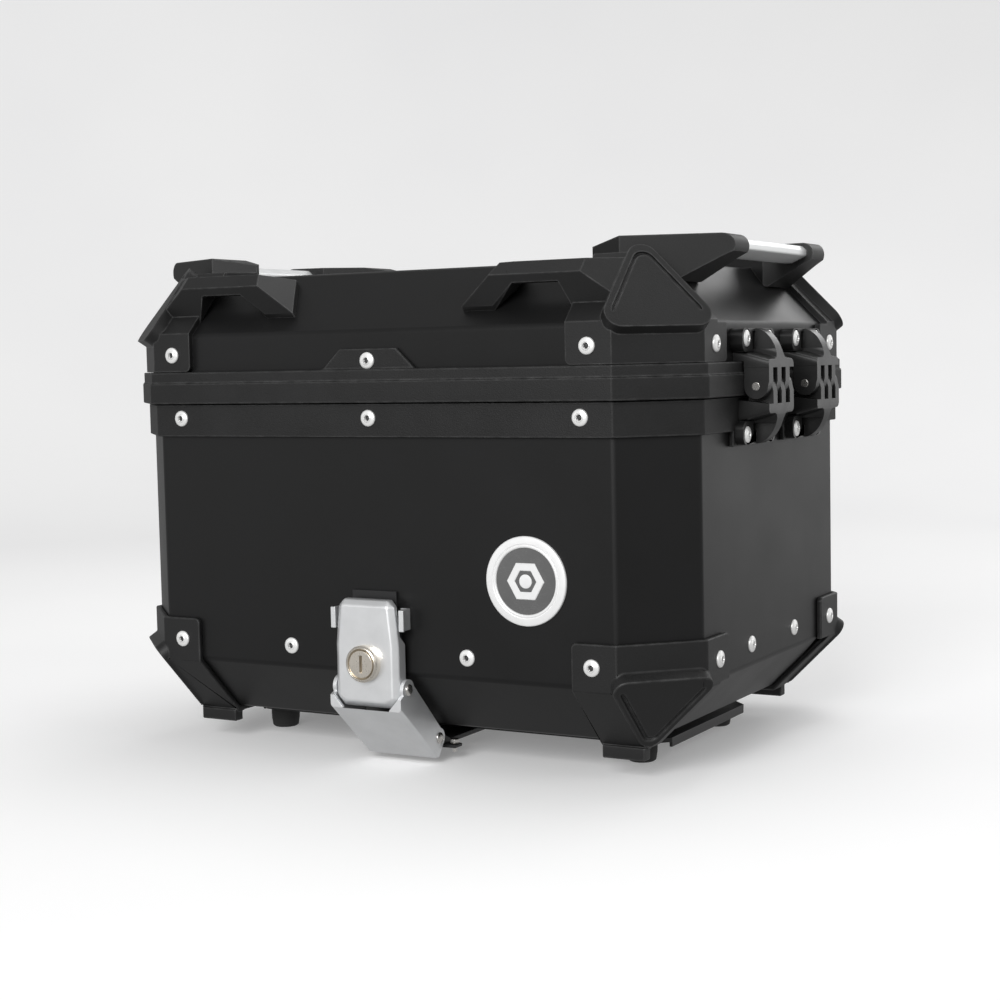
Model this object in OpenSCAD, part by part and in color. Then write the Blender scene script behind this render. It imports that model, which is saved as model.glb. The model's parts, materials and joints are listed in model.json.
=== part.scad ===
// Hard motorcycle top case: a folded aluminium box with a hinged lid, a lid latch, a keyed
// mounting latch and the mounting plate that it stands on.
// +Z is up. The wide face with the mounting latch looks along -Y and the lid hinges are on +X.
// The origin is on the floor under the middle of the body.

/* [Case] */
// Outside width of the body, from the lid latch face to the hinge face
case_w = 400; // [392:2:408]
// Outside depth of the body, front face to rear face
case_d = 298; // [294:2:304]
// Height of the body's underside above the floor
body_z = 23; // [22:1:24]
// Height from the body's underside to the line where the lid parts from it
part_h = 202.5; // [200:0.5:206]
// Leg of the cut at each vertical corner, and the height of the folds at top and bottom
cut = 37.5; // [36:0.5:39]
// Thickness of the aluminium sheet
sheet = 1.5; // [1.2:0.1:2]

/* [Edge frames] */
// How far the plastic collar on the body stands out
collar_out = 3.1; // [2.8:0.1:3.3]
// How far the plastic frame on the lid stands out
frame_out = 6.9; // [6.7:0.1:7]
// Height of the collar, and of the lid frame
band_h = 20.6; // [20:0.2:22]

/* [Corners] */
// Thickness of the corner pieces where they lie on the sheet
corner_t = 4; // [3:0.5:4]
// Height of the triangular pads above the corner facets of the lid
lid_pad_h = 7; // [6:0.5:8]
// Height of the triangular pads above the corner facets of the body
low_pad_h = 4.5; // [4:0.5:6]

/* [Hinges] */
// Distance of each hinge's middle from the case's middle plane
hinge_y = 41.7; // [38:0.1:44]
// Distance of the hinge axis outside the hinge face
hinge_out = 14.5; // [14.5:0.5:16]
// Radius of the hinge pins
hinge_pin_r = 2.5; // [2:0.1:3]

/* [Latches] */
// Half of the widest width of a latch cover
cover_w = 22.6; // [22:0.1:23]
// Radius of the pins in the latches
latch_pin_r = 2.5; // [2:0.1:2.8]
// Radius of the turning plug in each lock
plug_r = 8.4; // [7.5:0.1:8.6]

/* [Mounting plate] */
// Width of the mounting plate
plate_w = 312; // [300:1:316]
// Depth of the mounting plate
plate_d = 142; // [136:1:148]
// Spacing of the four bolt holes across the case
bolt_dx = 160; // [140:2:170]
// Spacing of the four bolt holes front to rear
bolt_dy = 80; // [70:2:90]
// Radius of the bolt holes
bolt_hole_r = 3.3; // [3:0.1:3.5]

/* [Hidden] */
$fn = 48;
gap = 0.05;            // clearance between pieces that touch
run = 0.05;            // radial clearance of a turning fit
hx = case_w / 2;
hy = case_d / 2;
z_low_fold = body_z + cut;
z_part = body_z + part_h;
z_collar = z_part - band_h;
z_frame = z_part + band_h;
z_lid_fold = z_part + 43.7;
z_lid_top = z_lid_fold + cut;
grow_cut = 2 - sqrt(2);      // how much a corner cut's leg grows per mm of offset
grow_fold = sqrt(2) - 1;     // how far a 45 degree fold moves per mm of offset

// rivets
rivet_r = 2;
rivet_hole_r = 2.1;
rivet_head_r = 5;
z_collar_rivet = z_part - 9;
z_low_rivet = body_z + 50.4;
z_tab_rivet = z_frame + 5.1;
z_leg_rivet = z_frame + 10.9;
collar_rivet_x = [-143.5, 0, 143.5];
body_rivet_x = 64;
guard_rivet_x = 148.4;
body_rivet_y = 37;
guard_rivet_y = 95.5;
leg_rivet_x = 149;
leg_rivet_y = 97.5;
guard_t = 3.5;

// hinges
axis_x = hx + hinge_out;
axis_z = z_part + 5.75;
leaf_w = 56;
lobe_h = 15;
block_w = 41.3;
finger_count = 6;
finger_pitch = block_w / finger_count;
knuckle_r = 7.5;
block_out = 8.3;             // from the axis to the outer face of the hinge block
flange_out = 6;              // from the axis back to the outer face of the flange
screw_seat = 7;              // and to the floor of the pockets round the screws
window = 11;                 // from the axis to the end of the finger windows, lid side
window_low = 10.4;           // and body side
leaf_top = 34.5;
screw_rise = 28.5;
block_round_z = 12;          // where the block's outer face starts to round back
shoulder = 17.6;             // height of the block's sloping shoulder, along its own slope
shoulder_tilt = 16;

// latches, in a frame with y = 0 at the wall and z = 0 at the cover's pivot
cover_front = -14;
cover_back = -3;
pivot_y = -5.5;
cover_t = 1.8;
link_in = cover_w + 0.4;
link_t = 2.5;
ring_r = 11.3;
cam_y = -2.3;
cam_t = 1.3;
mount_pivot_z = body_z + 29.3;
mount_low = [29, -36.1];     // lower pivot of the mounting latch, from the wall and the cover's pivot
mount_lock_z = 16;
mount_top = 54.7;
lid_wall = hx + frame_out + 0.1;
lid_pivot_z = z_part - 7.5;
lid_low = [-5.5, -32];
lid_lock_z = 17;
lid_top_h = 40;

// mounting plate and feet
plate_t = 3;
foot_h = 12.8;
foot_x = 136;
foot_y = 60;
plate_z = foot_h;
pad_h = body_z - plate_z - plate_t;
lug_z = 8.3;                 // underside of the bracket's outer lugs
lug_bolt = [28.2, 13.5];     // their bolts, from the middle plane and from the lower pivot
badge_x = 105.3;
badge_z = body_z + 98.2;

// ---------- shared shapes ----------

// Plan of the case, an oblong with cut corners, offset outward by g
module plan(g = 0) {
    x = hx + g;
    y = hy + g;
    c = cut + grow_cut * g;
    polygon([[x, y - c], [x - c, y], [c - x, y], [-x, y - c],
        [-x, c - y], [c - x, -y], [x - c, -y], [x, c - y]]);
}

// Ring between two offsets of the plan
module ring(outer, inner, z0, z1) {
    translate([0, 0, z0]) linear_extrude(z1 - z0) difference() {
        plan(outer);
        plan(inner);
    }
}

// Oblong at the flat bottom or top, inside the folds
module flat_end(g) {
    square([2 * (hx - cut + grow_fold * g), 2 * (hy - cut + grow_fold * g)], center = true);
}

// Solid form of the body with its folded bottom, offset outward by g and cut off at z1
module body_form(g, z1) {
    z0 = z_low_fold - grow_fold * g;
    hull() {
        translate([0, 0, z0]) linear_extrude(z1 - z0) plan(g);
        translate([0, 0, body_z - g]) linear_extrude(0.4) flat_end(g);
    }
}

// Solid form of the lid with its folded top, offset outward by g, from z0 up
module lid_form(g, z0) {
    z1 = z_lid_fold + grow_fold * g;
    hull() {
        translate([0, 0, z0]) linear_extrude(z1 - z0) plan(g);
        translate([0, 0, z_lid_top + g - 0.4]) linear_extrude(0.4) flat_end(g);
    }
}

// One child copied to both signs of X, or of Y
module both_x() {
    children();
    mirror([1, 0, 0]) children();
}
module both_y() {
    children();
    mirror([0, 1, 0]) children();
}

// Puts a child whose +Z is outward on a face: the front (-Y) or the hinge face (+X)
module on_front(x, z, out = 0) {
    translate([x, -hy - out, z]) rotate([90, 0, 0]) children();
}
module on_right(y, z, out = 0) {
    translate([hx + out, y, z]) rotate([90, 0, 90]) children();
}

// Blind rivet: dome with a mandrel hole, shank through the stack, and the set end behind it
module rivet(grip) {
    rotate_extrude() polygon([[0, -grip - 3], [1.6, -grip - 3], [2.9, -grip - 1.6],
        [2.9, -grip - gap], [rivet_r, -grip - gap], [rivet_r, gap], [rivet_head_r, gap],
        [rivet_head_r, 0.5], [4.1, 1.4], [2.6, 2], [1.3, 2.1], [1.2, 0.3], [0, 0.3]]);
}
module rivet_hole() {
    cylinder(r = rivet_hole_r, h = 30, center = true);
}

// Places of the rivets, for the rivets and for their holes
module at_collar_rivets(out = 0) {
    both_y() for (x = collar_rivet_x) on_front(x, z_collar_rivet, out) children();
}
module at_body_rivets() {
    both_y() for (x = [-body_rivet_x, body_rivet_x]) on_front(x, z_low_rivet) children();
    both_x() for (y = [-body_rivet_y, body_rivet_y]) on_right(y, z_low_rivet) children();
}
module at_guard_rivets(out = 0) {
    both_x() both_y() {
        on_front(guard_rivet_x, z_low_rivet, out) children();
        on_right(-guard_rivet_y, z_low_rivet, out) children();
    }
}
module at_leg_rivets(out = 0) {
    both_x() both_y() {
        on_front(leg_rivet_x, z_leg_rivet, out) children();
        on_right(-leg_rivet_y, z_leg_rivet, out) children();
    }
}

// ---------- body ----------

module body_shell() {
    color([0.045, 0.045, 0.05]) difference() {
        body_form(0, z_part - 4.3);
        body_form(-sheet, z_part);
        at_collar_rivets() rivet_hole();
        at_body_rivets() rivet_hole();
        at_guard_rivets() rivet_hole();
        at_low_screws() rivet_hole();
        at_catch_rivets() rivet_hole();
        at_bracket_rivets() rivet_hole();
    }
}

// Inner pan whose rim is riveted inside the walls
module bottom_pan() {
    color([0.05, 0.05, 0.055]) difference() {
        body_form(-sheet - gap, z_low_rivet + 12);
        body_form(-sheet - gap - 1.2, z_low_rivet + 14);
        at_body_rivets() rivet_hole();
        at_guard_rivets() rivet_hole();
    }
}

// Plastic collar that caps the body's rim, with a tongue for the lid's seal
module body_collar() {
    color([0.05, 0.05, 0.055]) difference() {
        union() {
            ring(collar_out, -sheet - 2.5, z_collar, z_part - 0.3);
            ring(-sheet - 0.5, -sheet - 2.3, z_part - 0.4, z_part + 1.7);
            both_y() translate([hx, hinge_y - leaf_w / 2, z_collar - 9])
                cube([collar_out, leaf_w, 10]);
        }
        ring(gap, -sheet - gap, z_collar - 12, z_part - 4.2);
        at_collar_rivets() rivet_hole();
        at_low_screws() rivet_hole();
        at_low_screws(-sheet - 3.6) cylinder(r = 3.2, h = 3.6);
    }
}

// Rounded triangular pad on a corner facet: a corner points along -x, the flat side is at +x
module pad_plan(inner_r, r) {
    d = inner_r - r;
    hull() {
        translate([-2 * d, 0]) circle(r, $fn = 32);
        translate([d, -sqrt(3) * d]) circle(r, $fn = 32);
        translate([d, sqrt(3) * d]) circle(r, $fn = 32);
    }
}

// Groove along the two sloping sides of a pad, inside its rim
module pad_groove(inner_r, r) {
    difference() {
        pad_plan(inner_r, r);
        translate([1, 0]) pad_plan(inner_r - 1.6, r - 1.6);
        translate([inner_r - r, -40]) square([20, 80]);
    }
}

// Puts a child on the lid's front right corner facet, +Z outward and +X down the facet
module on_lid_facet() {
    translate([hx - cut * 2 / 3, -hy + cut * 2 / 3, z_lid_fold + cut / 3])
        rotate([0, acos(1 / sqrt(3)), -45]) children();
}

// The same for the body's corner facet below, where +X goes up the facet
module on_low_facet() {
    translate([0, 0, z_low_fold + z_lid_fold]) mirror([0, 0, 1]) on_lid_facet() children();
}

// Guard as seen square to one face: its upper corner at x0, z1 is round
module guard_view(x0, z1) {
    translate([x0 + 3.5, z1 - 93.5]) offset(r = 3.5) square([90, 90]);
}

// Bottom corner guard for the front right corner
module guard() {
    left = 135;
    z_top = body_z + 64.2;
    color([0.05, 0.05, 0.055]) difference() {
        union() {
            intersection() {
                body_form(guard_t, z_top);
                rotate([90, 0, 0]) linear_extrude(hy + 10) guard_view(left, z_top);
                mirror([1, 0, 0]) rotate([90, 0, -90]) linear_extrude(hx + 10)
                    guard_view(hy - 70.5 + 1.9, z_top);
                union() {
                    translate([left, -hy - 10, z_low_fold - 1]) cube([90, hy - 70.5, 50]);
                    translate([left, -hy - 10, body_z - 10]) cube([90, hy - 84, 50]);
                }
            }
            on_low_facet() translate([5, 0, -12]) linear_extrude(low_pad_h + 12)
                pad_plan(20.8, 7.6);
            translate([left + 1, -hy + 33, body_z - 10]) cube([28, 8, 8]);
        }
        on_low_facet() translate([5, 0, low_pad_h - 1.8]) linear_extrude(5) pad_groove(17, 5.2);
        body_form(gap, z_part);
        on_front(guard_rivet_x, z_low_rivet) rivet_hole();
        on_right(-guard_rivet_y, z_low_rivet) rivet_hole();
    }
}
module guard_front_right() guard();
module guard_front_left() mirror([1, 0, 0]) guard();
module guard_rear_right() mirror([0, 1, 0]) guard();
module guard_rear_left() mirror([1, 0, 0]) mirror([0, 1, 0]) guard();

module body_rivets() {
    color("silver") {
        at_collar_rivets(collar_out) rivet(collar_out + sheet + 2.6);
        at_body_rivets() rivet(sheet + 1.3);
        at_guard_rivets(guard_t) rivet(guard_t + sheet + 1.3);
    }
}

// Round badge: a raised rim and a plain domed disc
module badge_ring() {
    color("silver") on_front(badge_x, badge_z) rotate_extrude($fn = 96)
        polygon([[21.5, gap], [26.5, gap], [26.5, 1.2], [25.6, 2], [22.4, 2], [21.5, 1.4]]);
}
module badge_disc() {
    color([0.2, 0.2, 0.22]) on_front(badge_x, badge_z) rotate_extrude($fn = 96)
        polygon([[0, gap], [21.45, gap], [21.45, 1], [16, 1.6], [9, 1.9], [0, 2]]);
}

// ---------- hinges ----------

// Points on an arc of an ellipse about c
function arc(c, rx, ry, a0, a1, step) = [for (a = [a0 : step : a1]) c + [rx * cos(a), ry * sin(a)]];

// Side outline of a leaf, x from the axis: from z_back at the wall and z0 at the outer face up
// to a flat outer face that rounds back to the flange
module block_outline(z0, z_back, back) {
    polygon(concat([[back, z_back], [block_out, z0]],
        arc([-screw_seat, block_round_z], block_out + screw_seat, leaf_top - block_round_z,
            0, 78, 6),
        [[-screw_seat + 1, leaf_top], [back, leaf_top]]));
}

// Front outline of a leaf: a broad finger block that narrows above its shoulder to a web
module leaf_front() {
    half = block_w / 2;
    side = [[half, -5], [half, shoulder - 2.4], [half - 0.8, shoulder - 0.8],
        [half - 2.4, shoulder], [10, shoulder], [7.2, shoulder + 1], [5.7, shoulder + 3],
        [5, shoulder + 6], [5, 45]];
    polygon(concat(side, [for (i = [len(side) - 1 : -1 : 0]) [-side[i][0], side[i][1]]]));
}

// Flange plate with rounded corners
module flange_plan() {
    translate([-leaf_top, -leaf_w / 2 + 2]) offset(r = 5) translate([5, 5])
        square([4, leaf_w - 14]);
}

// Leaf pointing up from the axis; which = 0 or 1 picks the fingers it owns. Its back rests
// on the sheet at skin, and stands off to step_skin below the height step_z.
module leaf(which, z0, z_back, skin, step_skin, step_z) {
    half = block_w / 2;
    back = skin - hinge_out + gap;
    difference() {
        union() {
            intersection() {
                translate([0, half, 0]) rotate([90, 0, 0]) linear_extrude(block_w)
                    block_outline(z0, z_back, back);
                rotate([0, shoulder_tilt, 0]) translate([-40, 0, 0]) rotate([90, 0, 90])
                    linear_extrude(80) leaf_front();
            }
            translate([back, 0, 0]) rotate([0, 90, 0])
                linear_extrude(-flange_out - back) flange_plan();
            for (i = [which : 2 : finger_count - 1]) finger(i, z0);
        }
        for (y = [-9.8, 5.05]) translate([-10.5, y, 22.2]) cube([20, 4.75, 10.6]);
        translate([-hinge_out - 5, -40, -5])
            cube([5 + step_skin + gap, 80, 5 + step_z]);
        rotate([90, 0, 0]) cylinder(r = hinge_pin_r + run, h = 60, center = true);
        for (y = [-18.5, 18.5]) translate([0, y, screw_rise]) rotate([0, 90, 0]) {
            cylinder(r = rivet_hole_r, h = 60, center = true);
            translate([0, 0, -screw_seat]) cylinder(r = 5.7, h = 12);
        }
    }
}

// One finger around the pin, joined to its block
module finger(i, z0) {
    y0 = -block_w / 2 + i * finger_pitch + 0.08;
    translate([0, y0 + finger_pitch - 0.16, 0]) rotate([90, 0, 0])
        linear_extrude(finger_pitch - 0.16)
            polygon(concat(arc([0, 0], knuckle_r, knuckle_r, 180, 360, 12),
                [[block_out, 3], [block_out, z0 + 1], [-knuckle_r, z0 + 1]]));
}

module at_hinge(side) {
    translate([axis_x, side * hinge_y, axis_z]) children();
}
module upper_leaf(side) {
    color([0.02, 0.02, 0.02]) at_hinge(side)
        leaf(0, window, window, 0, frame_out, z_frame - axis_z + gap);
}
module lower_leaf(side) {
    color([0.02, 0.02, 0.02]) at_hinge(side) mirror([0, 0, 1])
        leaf(1, window_low, 8, collar_out, collar_out, 40);
}
module hinge_upper_front() upper_leaf(-1);
module hinge_upper_rear() upper_leaf(1);
module hinge_lower_front() lower_leaf(-1);
module hinge_lower_rear() lower_leaf(1);

module hinge_pin(side) {
    color("silver") at_hinge(side) rotate([90, 0, 0])
        cylinder(r = hinge_pin_r, h = block_w + 1, center = true);
}
module hinge_pin_front() hinge_pin(-1);
module hinge_pin_rear() hinge_pin(1);

module at_screws(dz, out = 0) {
    for (s = [-1, 1]) for (y = [-18.5, 18.5]) on_right(s * hinge_y + y, axis_z + dz, out)
        children();
}
module at_low_screws(out = 0) {
    at_screws(-screw_rise, out) children();
}
module hinge_lower_screws() {
    color("silver") at_low_screws(hinge_out - screw_seat)
        rivet(hinge_out - screw_seat + sheet + 0.1);
}
module hinge_upper_screws() {
    color("silver") at_screws(screw_rise, hinge_out - screw_seat)
        rivet(hinge_out - screw_seat + sheet + 0.1);
}

// ---------- lid ----------

module lid_shell() {
    color([0.045, 0.045, 0.05]) difference() {
        lid_form(0, z_part + 9);
        lid_form(-sheet, z_part);
        at_leg_rivets() rivet_hole();
        at_screws(screw_rise) rivet_hole();
        both_y() on_front(0, z_tab_rivet) rivet_hole();
    }
}

// Plastic frame round the lid's edge, with a groove for the seal and two riveted tabs
module lid_frame() {
    z0 = z_part + 0.3;
    color([0.05, 0.05, 0.055]) difference() {
        union() {
            ring(frame_out, -sheet - 4.5, z0, z_part + 13.6);
            ring(frame_out - 1, -sheet - 2, z_part + 13.5, z_frame);
            both_y() translate([0, -hy - gap, z_frame - 1]) rotate([90, 0, 0])
                linear_extrude(2.6) polygon([[-34.5, 0], [34.5, 0], [20.5, 13.4], [-20.5, 13.4]]);
        }
        ring(gap, -sheet - gap, z_part + 8.9, z_frame + 1);
        ring(-sheet - 2, -sheet - 6, z_part + 9, z_frame + 1);
        ring(-sheet + 0.4, -sheet - 3.4, z0 - 1, z_part + 6);
        both_y() on_front(0, z_tab_rivet) rivet_hole();
    }
}

module lid_seal() {
    color([0.08, 0.08, 0.08]) ring(-sheet + 0.2, -sheet - 3.2, z_part + 1.8, z_part + 5.95);
}

// Wing that carries an end of the rail tube: its outline in X and Z, cut by its plan
module wing() {
    tip = hx + 8.5;
    z = z_lid_top;
    intersection() {
        translate([0, -55, 0]) rotate([90, 0, 0]) linear_extrude(60)
            polygon(concat([[124, z - 1], [124, z + 9.2], [149, z + 13.9]],
                [for (a = [90 : -15 : -30]) [tip - 7 + 7 * cos(a), z + 7.4 + 7 * sin(a)]],
                [[tip - 7, z + 0.9], [hx - 22.5, z - 12.7], [hx - 30, z - 12.7]]));
        translate([0, 0, z - 20]) linear_extrude(50) polygon([[hx + 20, -55],
            [hx + 20, -70.5], [149, -109], [124, -93.5], [127, -87], [hx - 26, -55]]);
    }
}

// Plan of the area that a lid corner piece covers above the lid's fold
module corner_cover() {
    polygon([[135, -hy - 20], [hx + 15, -hy - 20], [hx + 15, -94], [hx - 24, -94],
        [hx - 26, -55], [127, -87], [124, -93.5], [134, -hy + cut], [135, -hy + cut - 1]]);
}

// Puts a child on the lid's front slope: +Z outward, +Y up the slope, y = 0 at the top fold
module on_front_slope() {
    translate([0, -hy + cut, z_lid_top]) rotate([45, 0, 0]) children();
}

// Section of the tie-down arm's bar, and of its block, as [up the slope, out from it]
arm_bar = [[-31.5, 21], [-20.7, 21], [-15.7, 16.1], [-24.7, 7.1], [-33.6, 16.1]];
arm_block = [[-31.5, 21], [-20.7, 21], [-3.6, 4], [-3.6, 0], [-41, 0], [-39.2, 4]];

// Slice of a section of the arm between two distances from the middle plane
module arm_slice(x0, x1, section) {
    translate([x0, 0, 0]) rotate([90, 0, 90]) linear_extrude(x1 - x0) polygon(section);
}

// Tie-down arm: a block on the corner, a bar along the slope and a leg spread on the sheet
module tie_down_arm() {
    on_front_slope() {
        arm_slice(96, 132, arm_bar);
        arm_slice(135, hx, arm_block);
        hull() {
            arm_slice(128, 129, arm_bar);
            arm_slice(135, 136, arm_block);
        }
        hull() {
            arm_slice(97, 98, arm_bar);
            translate([0, 0, 20.5]) linear_extrude(0.5)
                polygon([[87.2, -21.1], [83.3, -31.3], [97.5, -31.3], [97.5, -21.1]]);
            linear_extrude(4)
                polygon([[72.9, -8.8], [61, -39.3], [82.4, -39.3], [92, -9]]);
        }
    }
}

// Corner piece as seen square to one face: its leg has a round corner at x0, z0
module leg_view(x0, z0) {
    translate([x0 + 3.5, z0 + 3.5]) offset(r = 3.5) square([90, 60]);
}

// Lid corner piece for the front right corner: skin, pad, tie-down arm and wing
module lid_corner() {
    color([0.05, 0.05, 0.055]) difference() {
        union() {
            intersection() {
                lid_form(corner_t, z_frame + 0.3);
                union() {
                    intersection() {
                        rotate([90, 0, 0]) linear_extrude(hy + 10)
                            leg_view(135, z_frame + 0.3);
                        mirror([1, 0, 0]) rotate([90, 0, -90]) linear_extrude(hx + 10)
                            leg_view(81, z_frame + 0.3);
                        translate([0, 0, z_frame]) linear_extrude(z_lid_fold - z_frame)
                            translate([100, -hy - 10]) square([110, hy]);
                    }
                    translate([0, 0, z_lid_fold - 0.1]) linear_extrude(60) corner_cover();
                }
            }
            on_lid_facet() translate([0, 0, -6]) linear_extrude(lid_pad_h + 6) pad_plan(22.6, 9.6);
            wing();
            difference() {
                tie_down_arm();
                on_lid_facet() translate([-60, -60, 6]) cube([120, 120, 40]);
            }
        }
        on_lid_facet() translate([0, 0, lid_pad_h - 1.8]) linear_extrude(5) pad_groove(18.6, 7);
        lid_form(gap, z_part);
        on_front(leg_rivet_x, z_leg_rivet) rivet_hole();
        on_right(-leg_rivet_y, z_leg_rivet) rivet_hole();
        rail_tube(gap);
    }
}
module lid_corner_front_right() lid_corner();
module lid_corner_front_left() mirror([1, 0, 0]) lid_corner();
module lid_corner_rear_right() mirror([0, 1, 0]) lid_corner();
module lid_corner_rear_left() mirror([1, 0, 0]) mirror([0, 1, 0]) lid_corner();

// Flat oval carrying tube, let into the wings at both ends
module rail_tube(g = 0) {
    z = z_lid_top;
    translate([0, 65 + g, 0]) rotate([90, 0, 0]) linear_extrude(130 + 2 * g)
        polygon([[hx - 12 - g, z + 1.6 - g], [hx - 6 + g, z + 1.6 - g], [hx + 4 + g, z + 6],
            [hx + 4 + g, z + 9.5], [hx + 1 + g, z + 12.4 + g], [hx - 13 - g, z + 12.4 + g],
            [hx - 17 - g, z + 8.5], [hx - 17 - g, z + 6]]);
}
module rail_tube_right() color("silver") rail_tube();
module rail_tube_left() color("silver") mirror([1, 0, 0]) rail_tube();

module lid_rivets() {
    color("silver") {
        at_leg_rivets(corner_t) rivet(corner_t + sheet);
        both_y() on_front(0, z_tab_rivet, 2.7) rivet(2.7 + sheet);
    }
}

// ---------- latches ----------

// The mounting latch hangs on the front face, the lid latch on the face opposite the hinges
module on_mount() {
    translate([0, -hy, mount_pivot_z]) children();
}
module on_lid_latch() {
    translate([-lid_wall, 0, lid_pivot_z]) rotate([0, 0, -90]) children();
}

// Cylinder along X through a point of the latch's side view
module cross_pin(p, r, len) {
    translate([0, p[0], p[1]]) rotate([0, 90, 0]) cylinder(r = r, h = len, center = true);
}

// Front outline of a cover, inset by i
module cover_front_plan(top, i) {
    w = cover_w - i;
    polygon([[-w + 5.5, -11.3 + i], [w - 5.5, -11.3 + i], [w, -5], [w, top - 28],
        [w - 2.6, top - 4], [w - 6.5, top - i], [-w + 6.5, top - i], [-w + 2.6, top - 4],
        [-w, top - 28], [-w, -5]]);
}

// Latch cover: a hollow casting with bevelled edges, round ears at its pivot and the lock bore
module cover(top, lock_z) {
    depth = cover_back - cover_front;
    color([0.75, 0.76, 0.78]) difference() {
        union() {
            translate([0, cover_back, 0]) rotate([90, 0, 0]) hull() {
                linear_extrude(depth - 3.2) cover_front_plan(top, 0);
                linear_extrude(depth) cover_front_plan(top, 3.6);
            }
            cross_pin([pivot_y, 0], 5, 2 * cover_w);
        }
        translate([0, 5, 0]) rotate([90, 0, 0])
            linear_extrude(3 - cover_front - cover_t + 2) cover_front_plan(top, cover_t + 0.4);
        cross_pin([pivot_y, 0], latch_pin_r + run, 80);
        translate([-40, 0, 0]) rotate([90, 0, 90]) linear_extrude(80) polygon([[5, top - 27],
            [cover_back, top - 27], [cover_back - 4.5, top - 22], [cover_back - 4.5, top - 6],
            [cover_back - 3, top + 1], [5, top + 1]]);
        translate([0, 0, lock_z]) rotate([90, 0, 0]) cylinder(r = 9.5, h = 40);
    }
}

// Lock housing with its flange on the cover's face
module lock_ring(lock_z) {
    color([0.72, 0.68, 0.6]) translate([0, 0, lock_z]) rotate([90, 0, 0]) rotate_extrude()
        polygon([[plug_r + run, 4.2], [9.45, 4.2], [9.45, -cover_front + gap],
            [ring_r, -cover_front + gap], [ring_r, -cover_front + 3.8],
            [ring_r - 1.2, -cover_front + 5], [plug_r + run, -cover_front + 5]]);
}

// Turning plug with its key slot
module lock_plug(lock_z) {
    color([0.72, 0.68, 0.6]) translate([0, 0, lock_z]) rotate([90, 0, 0]) difference() {
        translate([0, 0, 4.2]) cylinder(r = plug_r, h = -cover_front + 0.6);
        translate([-0.9, -5.2, -cover_front + 0.8]) cube([1.8, 10.4, 8]);
    }
}

// Cam that reaches behind or over the catch when the plug is turned: unlocked, it hangs down,
// or with a turn of 180 it points up
module lock_cam(lock_z, turn) {
    color([0.6, 0.6, 0.6]) translate([0, 0, lock_z]) rotate([90, 0, 0]) rotate([0, 0, turn]) {
        translate([0, 0, -cam_y - cam_t]) linear_extrude(cam_t) {
            circle(4.2);
            translate([-4, -16]) square([8, 16]);
        }
        translate([0, 0, -cam_y - gap]) cylinder(r = 3.4, h = 4.2 + cam_y + gap);
    }
}

// Side outline of a link, x away from the wall and y up: two eyes joined by a strip
module link_side(low) {
    d = [low[0] - pivot_y, low[1]];
    n = 5.6 * [-d[1], d[0]] / norm(d);
    u = [pivot_y, 0];
    translate(u) circle(6.4);
    translate(low) circle(6.4);
    polygon([u + n, low + n, low - n, u - n]);
}

// Link: two side plates with the front plate's outline between them
module link(low, front) {
    color([0.75, 0.76, 0.78]) difference() {
        union() {
            for (s = [-1, 1]) translate([s > 0 ? link_in : -link_in - link_t, 0, 0])
                rotate([90, 0, 90]) linear_extrude(link_t) link_side(low);
            translate([-link_in - link_t, 0, 0]) rotate([90, 0, 90])
                linear_extrude(2 * (link_in + link_t)) polygon(front);
            both_x() translate([link_in, 0, 0]) rotate([90, 0, 90]) linear_extrude(link_t)
                polygon([front[0], front[1], front[2], [low[0] + 5.6, low[1] - 3], low,
                    [pivot_y, 0], [front[0][0], -4.8]]);
            intersection() {
                translate([0, 0, -20]) rotate([90, 0, 0]) linear_extrude(30) both_x()
                    polygon([[16.8, 0], [16.8, 8], [link_in, 15], [link_in + 1, 15.2],
                        [link_in + 1, 0]]);
                translate([-40, 0, 0]) rotate([90, 0, 90]) linear_extrude(80)
                    polygon([front[0], [front[0][0], -4.8], [front[0][0] + 2.4, -4.8],
                        [front[0][0] + 2.4, -13], [front[0][0] + 1, -13.2]]);
            }
        }
        cross_pin([pivot_y, 0], latch_pin_r + run, 80);
        cross_pin(low, latch_pin_r + run, 80);
    }
}

// Headed pin through both eyes of a link
module latch_pin(p) {
    half = link_in + link_t + gap;
    color("silver") {
        cross_pin(p, latch_pin_r, 2 * half + 1);
        both_x() translate([half, p[0], p[1]]) rotate([0, 90, 0])
            rotate_extrude() polygon([[0, 0], [3.6, 0], [3.6, 0.6], [2.4, 1.3], [0, 1.5]]);
    }
}

mount_front = [[-14.7, -12.4], [25.5, -48.2], [30, -47.4], [29, -45], [26.4, -45.4],
    [-11.4, -13.6]];
lid_front = [[-14, -12.2], [-14, -37], [-11.5, -37], [-11.5, -13.6]];

module mount_link() on_mount() link(mount_low, mount_front);
module mount_pin_upper() on_mount() latch_pin([pivot_y, 0]);
module mount_pin_lower() on_mount() latch_pin(mount_low);
module mount_cover() on_mount() cover(mount_top, mount_lock_z);
module mount_lock_ring() on_mount() lock_ring(mount_lock_z);
module mount_lock_plug() on_mount() lock_plug(mount_lock_z);
module mount_lock_cam() on_mount() lock_cam(mount_lock_z, 0);

module lid_link() on_lid_latch() link(lid_low, lid_front);
module lid_pin_upper() on_lid_latch() latch_pin([pivot_y, 0]);
module lid_pin_lower() on_lid_latch() latch_pin(lid_low);
module lid_latch_cover() on_lid_latch() cover(lid_top_h, lid_lock_z);
module lid_lock_ring() on_lid_latch() lock_ring(lid_lock_z);
module lid_lock_plug() on_lid_latch() lock_plug(lid_lock_z);
module lid_lock_cam() on_lid_latch() lock_cam(lid_lock_z, 180);

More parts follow.
